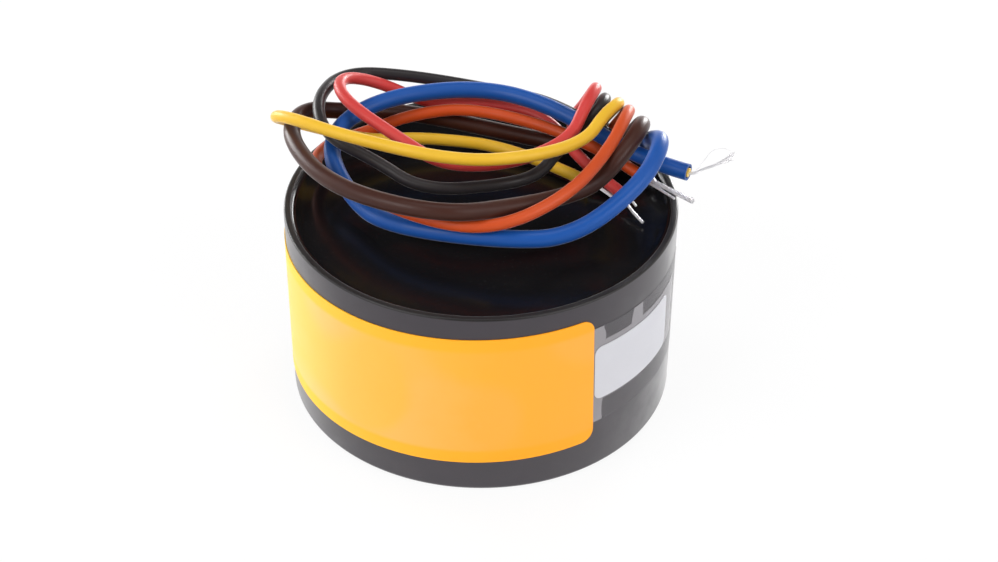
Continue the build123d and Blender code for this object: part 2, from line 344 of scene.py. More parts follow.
@dataclass
class Surface:
    """A material's sheet while its finish is being put together."""

    sheet: NodeSheet
    shader: Node
    output: Node
    position: Socket
    material: Material

    @classmethod
    def start(cls, name: str, **sockets: float | Colour) -> Surface:
        """Make a material with a Principled BSDF.

        Args:
            name: Name of the material.
            sockets: Values for the shader's inputs, spaces written as underscores.

        Returns:
            The surface, ready for more nodes.
        """
        material = bpy.data.materials.new(name)
        material.use_nodes = True
        sheet = NodeSheet(material.node_tree)
        shader = sheet.add("BsdfPrincipled", **sockets)
        output = sheet.add("OutputMaterial", Surface=shader.outputs["BSDF"])
        position = sheet.add("TexCoord").outputs["Object"]
        return cls(sheet, shader, output, position, material)

    def place(self, group: bpy.types.NodeTree, **values: float) -> bpy.types.NodeOutputs:
        """Put a shared group with these inputs in the material, and return its outputs."""
        node = self.sheet.add("Group", node_tree=group, Position=self.position, **values)
        return node.outputs

    def noise(self, scale: float, detail: float) -> Socket:
        """Return noise over the surface, around 0.5."""
        node = self.sheet.add("TexNoise", Vector=self.position, Scale=scale, Detail=detail)
        return node.outputs["Fac"]

    def drive(self, label: str, source: Socket) -> None:
        """Feed one of the shader's inputs."""
        self.sheet.feed(self.shader.inputs[label], source)

    def roughen(self, mask: Socket, ends: Span, limits: Span = SMEARED) -> None:
        """Drive the roughness from one end to the other as a mask passes its limits."""
        self.drive("Roughness", self.sheet.span(mask, limits, ends))

    def emboss(self, height: Socket, strength: float, distance: float) -> None:
        """Feed a height, with this depth in metres, to the shader's normal."""
        bump = self.sheet.add("Bump", Strength=strength, Distance=distance, Height=height)
        self.drive("Normal", bump.outputs["Normal"])

    def azimuth(self) -> Socket:
        """Return the angle round the Z axis from the front, in radians, towards +X."""
        axes = self.sheet.axes(self.position)
        return self.sheet.maths("ARCTAN2", axes["X"], self.sheet.maths("MULTIPLY", axes["Y"], -1.0))

    def height(self, patch: WallPatch) -> Socket:
        """Return the height above the floor, measured along a patch's own slope.

        Args:
            patch: Piece on the wall whose lower and upper edges are sloped.

        Returns:
            The height, in metres.
        """
        level = self.sheet.add("VectorMath", operation="DOT_PRODUCT")
        self.sheet.feed(level.inputs[0], self.position)
        self.sheet.feed(level.inputs[1], patch.upward)
        return level.outputs["Value"]

    def band(self, value: Socket, low: float, high: float, fade: float) -> Socket:
        """Return a mask that is 1 where a value lies between two limits.

        Args:
            value: Socket to test.
            low: Lower limit.
            high: Upper limit.
            fade: Half the width of each soft edge.

        Returns:
            The mask's socket.
        """
        over = self.sheet.span(value, (low - fade, low + fade), RISING)
        under = self.sheet.span(value, (high - fade, high + fade), FALLING)
        return self.sheet.maths("MULTIPLY", over, under)


# ---- Finishes ------------------------------------------------------------------------


@dataclass(frozen=True)
class Plastic:
    """Plastic with a fine grain, a little dust and smears from handling.

    Gloss is the weight of its satin coat, bloom that of a pale sheen. Above the height
    lip, unless that is 0, its colour is darkened with painted shade, for a rim top that
    faces the dim room, and its coat is all but gone.
    """

    name: str
    colour: Colour
    worn: Colour
    roughness: float = 0.5
    grain_scale: float = 3200.0
    grain_depth: float = 0.00002
    grain_strength: float = 0.5
    mark_scale: float = 90.0
    clean_change: float = 0.1
    smear_change: float = -0.06
    specular: float = 0.4
    gloss: float = 0.4
    gloss_roughness: float = 0.28
    bloom: float = 0.0
    bloom_roughness: float = 0.35
    # The lip fields paint shade on the rim's top face: above that height the colour darkens.
    lip: float = 0.0
    lip_fade: float = 0.0003
    lip_painted_shade: Colour = (0.005, 0.003, 0.003)
    lip_gloss: float = 0.05

    def make(self, effects: Effects) -> Material:
        """Build the material.

        Args:
            effects: Shared shader groups.

        Returns:
            The material.
        """
        surface = Surface.start(
            self.name, Specular_IOR_Level=self.specular,
            Coat_Weight=self.gloss, Coat_Roughness=self.gloss_roughness,
            Sheen_Weight=self.bloom, Sheen_Roughness=self.bloom_roughness,
        )
        sheet = surface.sheet
        grain = surface.place(effects.grain, Scale=self.grain_scale)
        marks = surface.place(effects.handling, Scale=self.mark_scale, Amount=0.5)
        tone = sheet.blend(grain["Shade"], self.colour, self.worn)
        tone = sheet.blend(marks["Dust"], tone, self.worn)
        # Painted shade on the rim's top face: the colour darkens above the lip height.
        if self.lip:
            level = sheet.axes(surface.position)["Z"]
            edge = sheet.span(level, (self.lip, self.lip + self.lip_fade), RISING)
            tone = sheet.blend(edge, tone, self.lip_painted_shade)
            surface.drive("Coat Weight", sheet.span(edge, RISING, (self.gloss, self.lip_gloss)))
        surface.drive("Base Color", tone)
        ends = (self.roughness + self.clean_change, self.roughness + self.smear_change)
        surface.roughen(marks["Smear"], ends)
        surface.emboss(grain["Height"], self.grain_strength, self.grain_depth)
        return surface.material


@dataclass(frozen=True)
class CableSheath(Plastic):
    """Extruded soft plastic with faint die lines and a little bloom."""

    roughness: float = 0.46
    grain_scale: float = 1800.0
    grain_strength: float = 0.25
    mark_scale: float = 160.0
    clean_change: float = -0.05
    smear_change: float = 0.08
    specular: float = 0.25
    gloss: float = 0.0
    gloss_roughness: float = 0.03
    bloom: float = 0.25
    bloom_roughness: float = 0.3


@dataclass(frozen=True)
class CastResin:
    """Poured resin that set with a mirror-smooth, faintly rippled skin."""

    name: str
    colour: Colour
    dust: Colour = (0.06, 0.06, 0.06)
    roughness: Span = (0.17, 0.27)
    ripple_depth: float = 0.0004

    def make(self, effects: Effects) -> Material:
        """Build the material.

        Args:
            effects: Shared shader groups.

        Returns:
            The material.
        """
        surface = Surface.start(self.name, Specular_IOR_Level=0.22)
        marks = surface.place(effects.handling, Scale=70.0, Amount=0.35)
        surface.drive("Base Color", surface.sheet.blend(marks["Dust"], self.colour, self.dust))
        surface.roughen(marks["Smear"], self.roughness)
        ripple = surface.noise(scale=60.0, detail=1.0)
        surface.emboss(ripple, strength=0.35, distance=self.ripple_depth)
        return surface.material


@dataclass(frozen=True)
class PrintedLabel:
    """Coated label stock with a saturated border round a paler field.

    Its colours turn from left to right, and the field has blotches of the border's.
    """

    name: str
    border_left: Colour
    border_right: Colour
    field_left: Colour
    field_right: Colour
    turn: Span = (math.radians(-75), math.radians(15))
    border_width: float = 0.0028
    fade: float = 0.0006
    smear_turn: float = 0.25
    blotch_limits: Span = (0.45, 0.58)
    blotch_strength: Span = (0.0, 0.5)
    roughness: Span = (0.46, 0.38)
    grain_depth: float = 0.000008

    def make(self, effects: Effects) -> Material:
        """Build the material.

        Args:
            effects: Shared shader groups.

        Returns:
            The material.
        """
        surface = Surface.start(
            self.name, Specular_IOR_Level=0.3, Coat_Weight=0.05, Coat_Roughness=0.25
        )
        sheet = surface.sheet
        marks = surface.place(effects.handling, Scale=60.0, Amount=0.6)
        along = sheet.span(surface.azimuth(), self.turn, RISING)
        wash = sheet.maths("MULTIPLY_ADD", marks["Smear"], self.smear_turn, along)
        wash.node.use_clamp = True
        panel = sheet.blend(wash, self.field_left, self.field_right)
        edging = sheet.blend(along, self.border_left, self.border_right)
        blotches = surface.noise(scale=45.0, detail=0.0)
        blotches = sheet.span(blotches, self.blotch_limits, self.blotch_strength)
        panel = sheet.blend(blotches, panel, edging)
        low, high = LABEL.bottom + self.border_width, LABEL.top - self.border_width
        inside = surface.band(surface.height(LABEL), low, high, self.fade)
        surface.drive("Base Color", sheet.blend(inside, edging, panel))
        surface.roughen(marks["Smear"], self.roughness)
        grain = surface.place(effects.grain, Scale=5000.0)
        surface.emboss(grain["Height"], strength=0.2, distance=self.grain_depth)
        return surface.material


@dataclass(frozen=True)
class ClearFilm:
    """Clear film that is stuck down, but stands off in pale strips round the patch."""

    name: str
    bonded: Colour
    loose: Colour
    opacity: Span = (0.2, 0.7)
    margin: float = 0.0013
    right_margin: float = 0.0045
    fade: float = 0.00025
    label_strip: float = math.radians(3.6)
    upper_strip: Span = (math.radians(47.5), math.radians(52.5))
    sway: float = 0.02

    def make(self, effects: Effects) -> Material:
        """Build the material.

        Args:
            effects: Shared shader groups, of which film needs none.

        Returns:
            The material.
        """
        surface = Surface.start(self.name, Roughness=0.14, Specular_IOR_Level=0.6)
        sheet = surface.sheet
        waver = surface.noise(scale=220.0, detail=1.0)
        waver = sheet.maths("MULTIPLY_ADD", waver, 2 * self.sway, -self.sway)
        angle = sheet.maths("ADD", surface.azimuth(), waver)
        height = surface.height(FILM)
        side, turn_fade = self.margin / FILM.outer, self.fade / FILM.outer
        right = PATCH.right + self.right_margin / FILM.outer
        low, high = PATCH.bottom - self.margin / 3, PATCH.top + self.margin
        around = sheet.maths(
            "MULTIPLY",
            surface.band(angle, PATCH.left - side, right, turn_fade),
            surface.band(height, low, high, self.fade),
        )
        strip_end = FILM.left + self.label_strip
        beside_label = surface.band(angle, FILM.left - side, strip_end, turn_fade)
        above = sheet.maths(
            "MULTIPLY",
            surface.band(angle, *self.upper_strip, turn_fade),
            surface.band(height, PATCH.top, FILM.top + self.margin, self.fade),
        )
        stand_off = sheet.maths("MAXIMUM", sheet.maths("MAXIMUM", around, beside_label), above)
        surface.drive("Base Color", sheet.blend(stand_off, self.bonded, self.loose))
        surface.drive("Alpha", sheet.span(stand_off, RISING, self.opacity))
        return surface.material


@dataclass(frozen=True)
class Metal:
    """Bare or plated metal with fine tool or draw marks."""

    name: str
    colour: Colour
    dull: Colour
    roughness: float = 0.28
    metallic: float = 1.0
    mark_limits: Span = (0.3, 0.7)
    bright_change: float = -0.06
    dull_change: float = 0.1
    mark_depth: float = 0.00001

    def make(self, effects: Effects) -> Material:
        """Build the material.

        Args:
            effects: Shared shader groups.

        Returns:
            The material.
        """
        surface = Surface.start(self.name, Metallic=self.metallic)
        grain = surface.place(effects.grain, Scale=1500.0)
        surface.drive("Base Color", surface.sheet.blend(grain["Shade"], self.colour, self.dull))
        ends = (self.roughness + self.bright_change, self.roughness + self.dull_change)
        surface.roughen(grain["Shade"], ends, self.mark_limits)
        surface.emboss(grain["Height"], strength=0.3, distance=self.mark_depth)
        return surface.material


class Finishes:
    """Every material of the part, made once and handed out by name."""

    def __init__(self, effects: Effects) -> None:
        """Build each finish.

        Args:
            effects: Shared shader groups.
        """
        recipes = (
            Plastic(
                "cup_plastic", (0.0105, 0.0055, 0.0118), (0.0182, 0.0112, 0.0197), 0.36,
                # the lip height starts painted shade on the rim's top face
                gloss=0.62, bloom=0.35, lip=0.0405,
            ),
            Plastic("cap_plastic", (0.72, 0.71, 0.66), (0.78, 0.77, 0.72)),
            Plastic("pressboard", (0.5, 0.4, 0.27), (0.6, 0.5, 0.36), 0.8, 900.0, 0.00005),
            Plastic("polyester_tape", (0.85, 0.7, 0.2), (0.9, 0.78, 0.3), 0.3),
            Plastic("patch_white", (0.55, 0.55, 0.59), (0.59, 0.59, 0.63), 0.4),
            CastResin("cast_resin", (0.0062, 0.006, 0.0066)),
            PrintedLabel(
                "label_orange", (0.96, 0.56, 0.03), (1.0, 0.38, 0.006),
                (0.95, 0.565, 0.17), (1.0, 0.395, 0.04),
            ),
            ClearFilm("clear_film", (0.17, 0.16, 0.175), (0.34, 0.325, 0.345)),
            CableSheath("insulation_blue", (0.004, 0.057, 0.275), (0.008, 0.08, 0.33)),
            CableSheath("insulation_brown", (0.031, 0.0055, 0.0025), (0.05, 0.016, 0.009)),
            CableSheath("insulation_red", (0.5, 0.03, 0.027), (0.56, 0.06, 0.054)),
            CableSheath("insulation_black", (0.015, 0.0125, 0.013), (0.026, 0.022, 0.023)),
            CableSheath("insulation_yellow", (0.68, 0.385, 0.012), (0.74, 0.45, 0.035)),
            CableSheath("insulation_orange", (0.48, 0.05, 0.006), (0.54, 0.075, 0.014)),
            CableSheath("sleeve_yellow", (0.8, 0.5, 0.08), (0.86, 0.58, 0.14)),
            Metal("tinned_copper", (0.9, 0.89, 0.9), (0.72, 0.71, 0.73), 0.38, 0.6),
            Metal("insert_brass", (0.8, 0.6, 0.28), (0.66, 0.47, 0.2)),
            Metal("core_steel", (0.5, 0.51, 0.53), (0.4, 0.41, 0.43), 0.4),
            Metal("enamelled_copper", (0.62, 0.24, 0.1), (0.5, 0.18, 0.07), 0.3),
        )
        self.materials = {recipe.name: recipe.make(effects) for recipe in recipes}

    def dress(self, piece: Piece, name: str) -> None:
        """Give a piece one finish.

        Args:
            piece: Mesh or curve object.
            name: Name of the finish, which is also the record's slot.
        """
        piece.data.materials.clear()
        piece.data.materials.append(self.materials[name])


# ---- Leads ---------------------------------------------------------------------------


class Insulation(Enum):
    """Colour of a lead's insulation."""

    BLUE = "blue"
    BROWN = "brown"
    RED = "red"
    BLACK = "black"
    YELLOW = "yellow"
    ORANGE = "orange"


def in_scene(name: str, data: bpy.types.ID) -> Piece:
    """Return a new object that holds this data, linked to the scene."""
    piece = bpy.data.objects.new(name, data)
    bpy.context.scene.collection.objects.link(piece)
    return piece


def nurbs(name: str, points: Sequence[Point | Vector], diameter: float) -> Piece:
    """Draw one smooth round cord through its control points.

    Args:
        name: Name of the object.
        points: Control points, in metres.
        diameter: Thickness; 0 leaves a bare line.

    Returns:
        The curve object.
    """
    curve = bpy.data.curves.new(name, "CURVE")
    curve.dimensions = "3D"
    spline = curve.splines.new("NURBS")
    spline.points.add(len(points) - 1)
    for control, place in zip(spline.points, points):
        control.co = (*place, 1.0)
    spline.order_u = 3
    spline.use_endpoint_u = True
    curve.resolution_u = 16
    curve.bevel_depth = diameter / 2
    curve.bevel_resolution = 7
    curve.use_fill_caps = diameter > 0
    return in_scene(name, curve)


def centreline(points: Sequence[Point | Vector]) -> list[Vector]:
    """Read the smooth line that a set of control points gives.

    Args:
        points: Control points, in metres.

    Returns:
        Points along the line, in order.
    """
    line = nurbs("centreline", points, 0.0)
    curve = line.data
    mesh = bpy.data.meshes.new_from_object(line)
    found = [vertex.co.copy() for vertex in mesh.vertices]
    bpy.data.objects.remove(line)
    bpy.data.curves.remove(curve)
    bpy.data.meshes.remove(mesh)
    return found


def line_length(line: Sequence[Vector]) -> float:
    """Return the length of a line of points."""
    return sum((end - start).length for start, end in zip(line, line[1:]))


@dataclass(frozen=True)
class Lead:
    """One insulated lead.

    Its route gives the same corners as the solid's: x, y and height above the rim.
    """

    insulation: Insulation
    diameter: float
    length: float
    route: tuple[Point, ...]

    @property
    def node(self) -> str:
        """Return the name of its solid."""
        return f"lead_{self.insulation.value}"

    def points(self, rim: float) -> list[Point]:
        """Return its control points in the part's frame, where the rim has this height."""
        return [(x, y, rim + height) for x, y, height in self.route]


LEADS = (
    Lead(Insulation.BLUE, 0.0033, 0.1985, (
        (0.0305, 0.0155, -0.005), (0.0305, 0.0155, 0.0005), (0.0335, 0.013, 0.0045),
        (0.0325, 0.005, 0.0107), (0.0343, -0.003, 0.0157), (0.0299, -0.0125, 0.0122),
        (0.017, -0.0205, 0.0055), (0.0035, -0.0209, 0.0053), (-0.0148, -0.0154, 0.0042),
        (-0.0235, -0.0058, 0.0018), (-0.0308, 0.0079, 0.0077), (-0.022, 0.02, 0.01),
        (-0.0015, 0.0255, 0.01), (0.014, 0.0185, 0.01), (0.0305, 0.007, 0.0048),
        (0.0395, 0.002, 0.005),
    )),
    Lead(Insulation.BROWN, 0.0033, 0.203, (
        (0.0285, 0.019, -0.005), (0.0285, 0.019, 0.001), (0.0295, 0.013, 0.0065),
        (0.0315, 0.0055, 0.0148), (0.0271, -0.0033, 0.0132), (0.0219, -0.0066, 0.0082),
        (0.016, -0.0105, 0.008), (0.0085, -0.015, 0.009), (-0.0072, -0.0242, 0.0129),
        (-0.028, -0.012, 0.0109), (-0.0375, 0.006, 0.0105), (-0.0352, 0.017, 0.01),
        (-0.027, 0.0215, 0.0065), (-0.015, 0.0265, 0.0035), (0.01, 0.021, 0.0005),
        (0.0245, 0.016, 0.0005), (0.0336, 0.0079, 0.002),
    )),
    Lead(Insulation.RED, 0.0024, 0.1705, (
        (0.0185, 0.027, -0.005), (0.0185, 0.027, 0.0015), (0.0205, 0.023, 0.007),
        (0.023, 0.016, 0.0165), (0.02, 0.0085, 0.016), (0.017, 0.003, 0.0115),
        (0.0055, -0.0032, 0.0101), (-0.007, -0.0037, 0.0101), (-0.015, 0.0045, 0.0105),
        (-0.027, 0.0145, 0.0135), (-0.0285, 0.024, 0.013), (-0.0215, 0.0285, 0.0095),
        (-0.0105, 0.025, 0.006), (-0.002, 0.026, 0.006), (0.013, 0.0225, 0.0055),
        (0.02, 0.0115, 0.0005), (0.0275, 0.0, 0.001),
    )),
    Lead(Insulation.BLACK, 0.0024, 0.171, (
        (0.021, 0.0265, -0.005), (0.021, 0.0265, 0.001), (0.0235, 0.022, 0.0075),
        (0.0245, 0.0145, 0.0145), (0.0225, 0.0085, 0.0145), (0.0148, 0.0052, 0.0078),
        (0.0115, 0.0015, 0.005), (0.0055, -0.003, 0.0055), (-0.011, -0.004, 0.0045),
        (-0.0205, 0.0025, 0.0075), (-0.03, 0.0055, 0.011), (-0.0325, 0.0165, 0.0125),
        (-0.0278, 0.03, 0.0106), (-0.0145, 0.0305, 0.0095), (0.0045, 0.0275, 0.0075),
        (0.016, 0.0215, 0.008), (0.0255, 0.015, 0.005),
    )),
    Lead(Insulation.YELLOW, 0.0024, 0.179, (
        (0.024, 0.025, -0.005), (0.024, 0.025, 0.001), (0.0245, 0.0185, 0.007),
        (0.0274, 0.0115, 0.0155), (0.0235, 0.006, 0.0155), (0.02, 0.0, 0.0135),
        (0.0105, -0.007, 0.0145), (-0.004, -0.0105, 0.0155), (-0.0245, -0.003, 0.016),
        (-0.037, 0.006, 0.015), (-0.0405, 0.012, 0.0113), (-0.038, 0.0172, 0.007),
        (-0.0285, 0.0145, 0.006), (-0.022, 0.0162, 0.003), (-0.0115, 0.019, 0.002),
        (0.0075, 0.018, 0.0), (0.021, 0.005, 0.0005),
    )),
    Lead(Insulation.ORANGE, 0.0024, 0.194, (
        (0.026, 0.0225, -0.005), (0.026, 0.0225, 0.001), (0.0275, 0.0175, 0.007),
        (0.0288, 0.0105, 0.014), (0.0277, 0.0053, 0.0157), (0.024, -0.0037, 0.0137),
        (0.016, -0.0154, 0.0113), (0.003, -0.0222, 0.0086), (-0.0098, -0.0189, 0.0079),
        (-0.025, -0.0079, 0.0081), (-0.033, 0.005, 0.0039), (-0.031, 0.0155, 0.0025),
        (-0.024, 0.0215, 0.0012), (-0.0135, 0.0215, 0.006), (-0.0005, 0.023, 0.0065),
        (0.022, 0.013, 0.005), (0.032, 0.0055, 0.001),
    )),
)


@dataclass(frozen=True)
class Strand:
    """One bare wire of fine twisted filaments, from a lead's cut end.

    The bends are x, y and height above the rim; side is how far it starts to the right
    of the lead's axis, looking along it, and splay is how far apart its filaments end.
    """

    diameter: float
    side: float
    bends: tuple[Point, ...]
    filaments: int = 6
    splay: float = 0.0
    pitch: float = 0.007
    straight: float = 0.001


STRIPPED_ENDS: dict[Insulation, tuple[Strand, ...]] = {
    Insulation.BLUE: (
        Strand(0.0005, 0.0002, (
            (0.0425, 0.0018, 0.0057), (0.0453, 0.0018, 0.0068), (0.0477, 0.0025, 0.008),
            (0.0486, 0.003, 0.0087),
        ), filaments=5, splay=0.0003),
        Strand(0.0004, -0.0002, (
            (0.0425, 0.002, 0.0056), (0.0455, 0.0023, 0.0066), (0.0483, 0.0035, 0.0071),
        ), filaments=4, splay=0.0004),
        Strand(0.0002, 0.0, (
            (0.0427, 0.003, 0.0066), (0.0444, 0.0042, 0.0087), (0.0472, 0.0042, 0.0091),
            (0.0486, 0.0042, 0.0079),
        ), filaments=0),
    ),
    Insulation.BROWN: (
        Strand(0.00085, 0.0, (
            (0.0331, 0.005, 0.001), (0.0353, 0.0029, 0.0011), (0.0376, -0.0002, 0.0015),
            (0.0405, -0.0035, 0.002),
        ), filaments=7, splay=0.0002, straight=0.0003),
    ),
    Insulation.RED: (
        Strand(0.0006, 0.0004, ((0.0284, -0.0036, 0.0002), (0.0308, -0.0071, -0.0005))),
        Strand(0.0005, -0.0004, ((0.0298, -0.0025, 0.0001),)),
    ),
    Insulation.BLACK: (Strand(0.0006, 0.0, ((0.0283, 0.0126, 0.0037),)),),
    Insulation.YELLOW: (
        Strand(0.0007, 0.0, ((0.0231, 0.0037, 0.0002), (0.0257, 0.001, -0.0004)), filaments=8),
    ),
    Insulation.ORANGE: (
        Strand(0.0005, 0.0004, ((0.0335, 0.0032, 0.001), (0.0371, -0.0018, 0.0014))),
        Strand(0.0004, -0.0004, ((0.0341, 0.0036, 0.0008), (0.0362, 0.0002, 0.0008))),
    ),
}


@dataclass
class MeshDraft:
    """Vertices and faces of one mesh while it is being put together."""

    vertices: list[Vector] = field(default_factory=list)
    faces: list[tuple[int, ...]] = field(default_factory=list)

    def ring(self, places: Iterable[Vector]) -> range:
        """Add some vertices and return their indices."""
        first = len(self.vertices)
        self.vertices += places
        return range(first, len(self.vertices))

    def bridge(self, rings: Sequence[Sequence[int]]) -> None:
        """Add the faces between each ring of vertices and the next.

        Args:
            rings: Indices round each ring, in step; one may be a point repeated.
        """
        for ring, after in zip(rings, rings[1:]):
            for side in range(len(ring)):
                beside = (side + 1) % len(ring)
                corners = (ring[side], ring[beside], after[beside], after[side])
                face = tuple(dict.fromkeys(corners))
                if len(face) > 2:
                    self.faces.append(face)

    def cap(self, rings: Sequence[Sequence[int]]) -> None:
        """Close both ends of a row of rings."""
        self.faces += [tuple(reversed(rings[0])), tuple(rings[-1])]

    def tube(self, line: Sequence[Vector], radius: float, sides: int = 8) -> None:
        """Add a closed round tube along a line.

        Args:
            line: Points along its middle.
            radius: Radius of the tube.
            sides: Faces round it.
        """
        rings = []
        normal = (line[1] - line[0]).orthogonal().normalized()
        for index, place in enumerate(line):
            ahead = line[min(index + 1, len(line) - 1)]
            behind = line[max(index - 1, 0)]
            tangent = (ahead - behind).normalized()
            normal = (normal - tangent * normal.dot(tangent)).normalized()
            spins = [Quaternion(tangent, math.tau * side / sides) for side in range(sides)]
            rings.append(self.ring([place + spin @ normal * radius for spin in spins]))
        self.bridge(rings)
        self.cap(rings)

    def lathe(self, centre: Vector, outline: Sequence[Span], sides: int) -> None:
        """Add a closed ring turned about an upright axis.

        Args:
            centre: Point on the axis.
            outline: Closed section as radius and height above the centre.
            sides: Faces round it.
        """
        turns = [math.tau * side / sides for side in range(sides)]
        outward = [Vector((math.cos(turn), math.sin(turn), 0.0)) for turn in turns]
        rings = []
        for radius, height in outline:
            rise = Vector((0, 0, height))
            count = sides if radius else 1
            ring = self.ring([centre + way * radius + rise for way in outward[:count]])
            rings.append([ring[side % count] for side in range(sides)])
        self.bridge(rings + rings[:1])

    def finish(self, name: str, sharp_angle: float = math.radians(40)) -> Piece:
        """Turn the draft into a smooth-shaded object.

        Args:
            name: Name of the object.
            sharp_angle: Edges that turn by more stay sharp.

        Returns:
            The mesh object, linked to the scene.
        """
        mesh = bpy.data.meshes.new(name)
        mesh.from_pydata([tuple(v) for v in self.vertices], [], self.faces)
        mesh.validate()
        mesh.shade_smooth()
        mesh.set_sharp_from_angle(angle=sharp_angle)
        return in_scene(name, mesh)


@dataclass
class FlyingLeads:
    """The six leads, with their stripped ends.

    A filament's thickness is given as a share of its bundle's.
    """

    finishes: Finishes
    rim: float
    resin_level: float
    inner_sleeve_reach: float = 0.0006
    sheath_wall: float = 0.00045
    sheath_lip: float = 0.0004
    sheath_sides: int = 48
    filament_share: float = 0.4

    def build(self) -> None:
        for lead in LEADS:
            points = lead.points(self.rim)
            cord = nurbs(f"{lead.node}_sheath", points, lead.diameter)
            self.finishes.dress(cord, f"insulation_{lead.insulation.value}")
            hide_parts(lead.node)
            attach(cord, BODY)
            on_cord = [self._bare_wire(lead)]
            if lead.insulation is Insulation.BLUE:
                on_cord += [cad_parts["inner_sleeve_blue"], self._sheath_lip(lead)]
            LOG.info("%s: %.1f mm of lead", lead.node, line_length(centreline(points)) / MM)

    def _cut_end(self, lead: Lead) -> tuple[Vector, Vector]:
        """Return the middle of a lead's cut end and the direction in which it points."""
        before, tip = (Vector(place) for place in lead.points(self.rim)[-2:])
        return tip, (tip - before).normalized()

    def _bare_wire(self, lead: Lead) -> Piece:
        """Make the twisted filaments that stick out of a lead's cut end.

        Args:
            lead: Lead that ends in them.

        Returns:
            The filaments, as one object.
        """
        tip, direction = self._cut_end(lead)
        rightward = direction.cross(UP).normalized()
        if lead.insulation is Insulation.BLUE:
            tip = tip + direction * self.inner_sleeve_reach
        draft = MeshDraft()
        for strand in STRIPPED_ENDS[lead.insulation]:
            start = tip + rightward * strand.side
            bends = [Vector((x, y, self.rim + height)) for x, y, height in strand.bends]
            line = centreline([start, start + direction * strand.straight, *bends])
            self._twist(draft, line, strand)
        wire = draft.finish(f"bare_wire_{lead.insulation.value}_filaments")
        self.finishes.dress(wire, "tinned_copper")
        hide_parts(f"bare_wire_{lead.insulation.value}")
        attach(wire, BODY)
        return wire

    def _sheath_lip(self, lead: Lead) -> Piece:
        """Make the cut edge of the outer sheath, which stands round the inner sleeve.

        Args:
            lead: Lead with an inner sleeve.

        Returns:
            The edge, a short ring.
        """
        tip, direction = self._cut_end(lead)
        outer, top = lead.diameter / 2, self.sheath_lip
        inner = outer - self.sheath_wall
        draft = MeshDraft()
        section = [(outer, 0.0), (outer, top), (inner, top), (inner, 0.0)]
        draft.lathe(Vector(), section, self.sheath_sides)
        turn = UP.rotation_difference(direction)
        draft.vertices = [tip + turn @ vertex for vertex in draft.vertices]
        lip = draft.finish(f"{lead.node}_cut_edge")
        self.finishes.dress(lip, f"insulation_{lead.insulation.value}")
        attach(lip, BODY)
        return lip

    def _twist(self, draft: MeshDraft, line: Sequence[Vector], strand: Strand) -> None:
        """Add a bundle's filaments, each a gentle helix about a straight one.

        Args:
            draft: Mesh that they join.
            line: Points along the middle of the bundle.
            strand: Size and number of the filaments.
        """
        thickness = strand.diameter * self.filament_share
        orbit = (strand.diameter - thickness) / 2
        whole = line_length(line)
        for index in range(strand.filaments):
            run, path = 0.0, []
            normal = (line[1] - line[0]).orthogonal().normalized()
            for place, beyond in zip(line, [*line[1:], line[-1]]):
                tangent = (beyond - place).normalized() if beyond is not place else tangent
                normal = (normal - tangent * normal.dot(tangent)).normalized()
                angle = math.tau * (index / strand.filaments + run / strand.pitch)
                reach = orbit + strand.splay * (run / whole) ** 3
                path.append(place + Quaternion(tangent, angle) @ normal * reach)
                run += (beyond - place).length
            draft.tube(path, thickness / 2)
        draft.tube(line, thickness / 2)


# ---- Cup, resin, labels and what is buried -------------------------------------------


@dataclass(frozen=True)
class Cup:
    """Section of the moulded cup, with the post in its floor that holds the insert.

    The fill drop is how far below the rim the resin set.
    """

    radius: float = 0.038
    height: float = 0.041
    bore: float = 0.0366
    floor: float = 0.0025
    fill_drop: float = 0.0014
    foot_round: float = 0.001
    lip_round: float = 0.0004
    post_radius: float = 0.007
    post_height: float = 0.014
    socket_radius: float = 0.004
    socket_height: float = 0.012
    groove_depth: float = 0.0006
    groove_width: float = 0.002
    sides: int = 256
    corner_steps: int = 6

    def _corner(self, radius: float, height: float, size: float, start: float) -> list[Span]:
        """Return a quarter round.

        Args:
            radius: Radius of its centre from the axis.
            height: Height of its centre.
            size: Radius of the rounding.
            start: Angle at which it starts, turning towards the axis.

        Returns:
            Points of radius and height.
        """
        steps = range(self.corner_steps + 1)
        turns = [start + QUARTER * step / self.corner_steps for step in steps]
        return [(radius + size * math.cos(t), height + size * math.sin(t)) for t in turns]

    def outline(self) -> list[Span]:
        """Return the closed section as radius and height, outer wall first."""
        foot, lip = self.foot_round, self.lip_round
        top = self.height - lip
        low = (self.socket_height - self.groove_width) / 2
        ridge = self.socket_radius - self.groove_depth
        return [
            *self._corner(self.radius - foot, foot, foot, -math.pi / 2),
            *self._corner(self.radius - lip, top, lip, 0.0),
            *self._corner(self.bore + lip, top, lip, math.pi / 2),
            (self.bore, self.floor),
            (self.post_radius, self.floor),
            (self.post_radius, self.post_height),
            (0.0, self.post_height),
            (0.0, self.socket_height),
            (self.socket_radius, self.socket_height),
            (self.socket_radius, low + self.groove_width),
            (ridge, low + self.groove_width),
            (ridge, low),
            (self.socket_radius, low),
            (self.socket_radius, 0.0),
        ]


CUP = Cup()


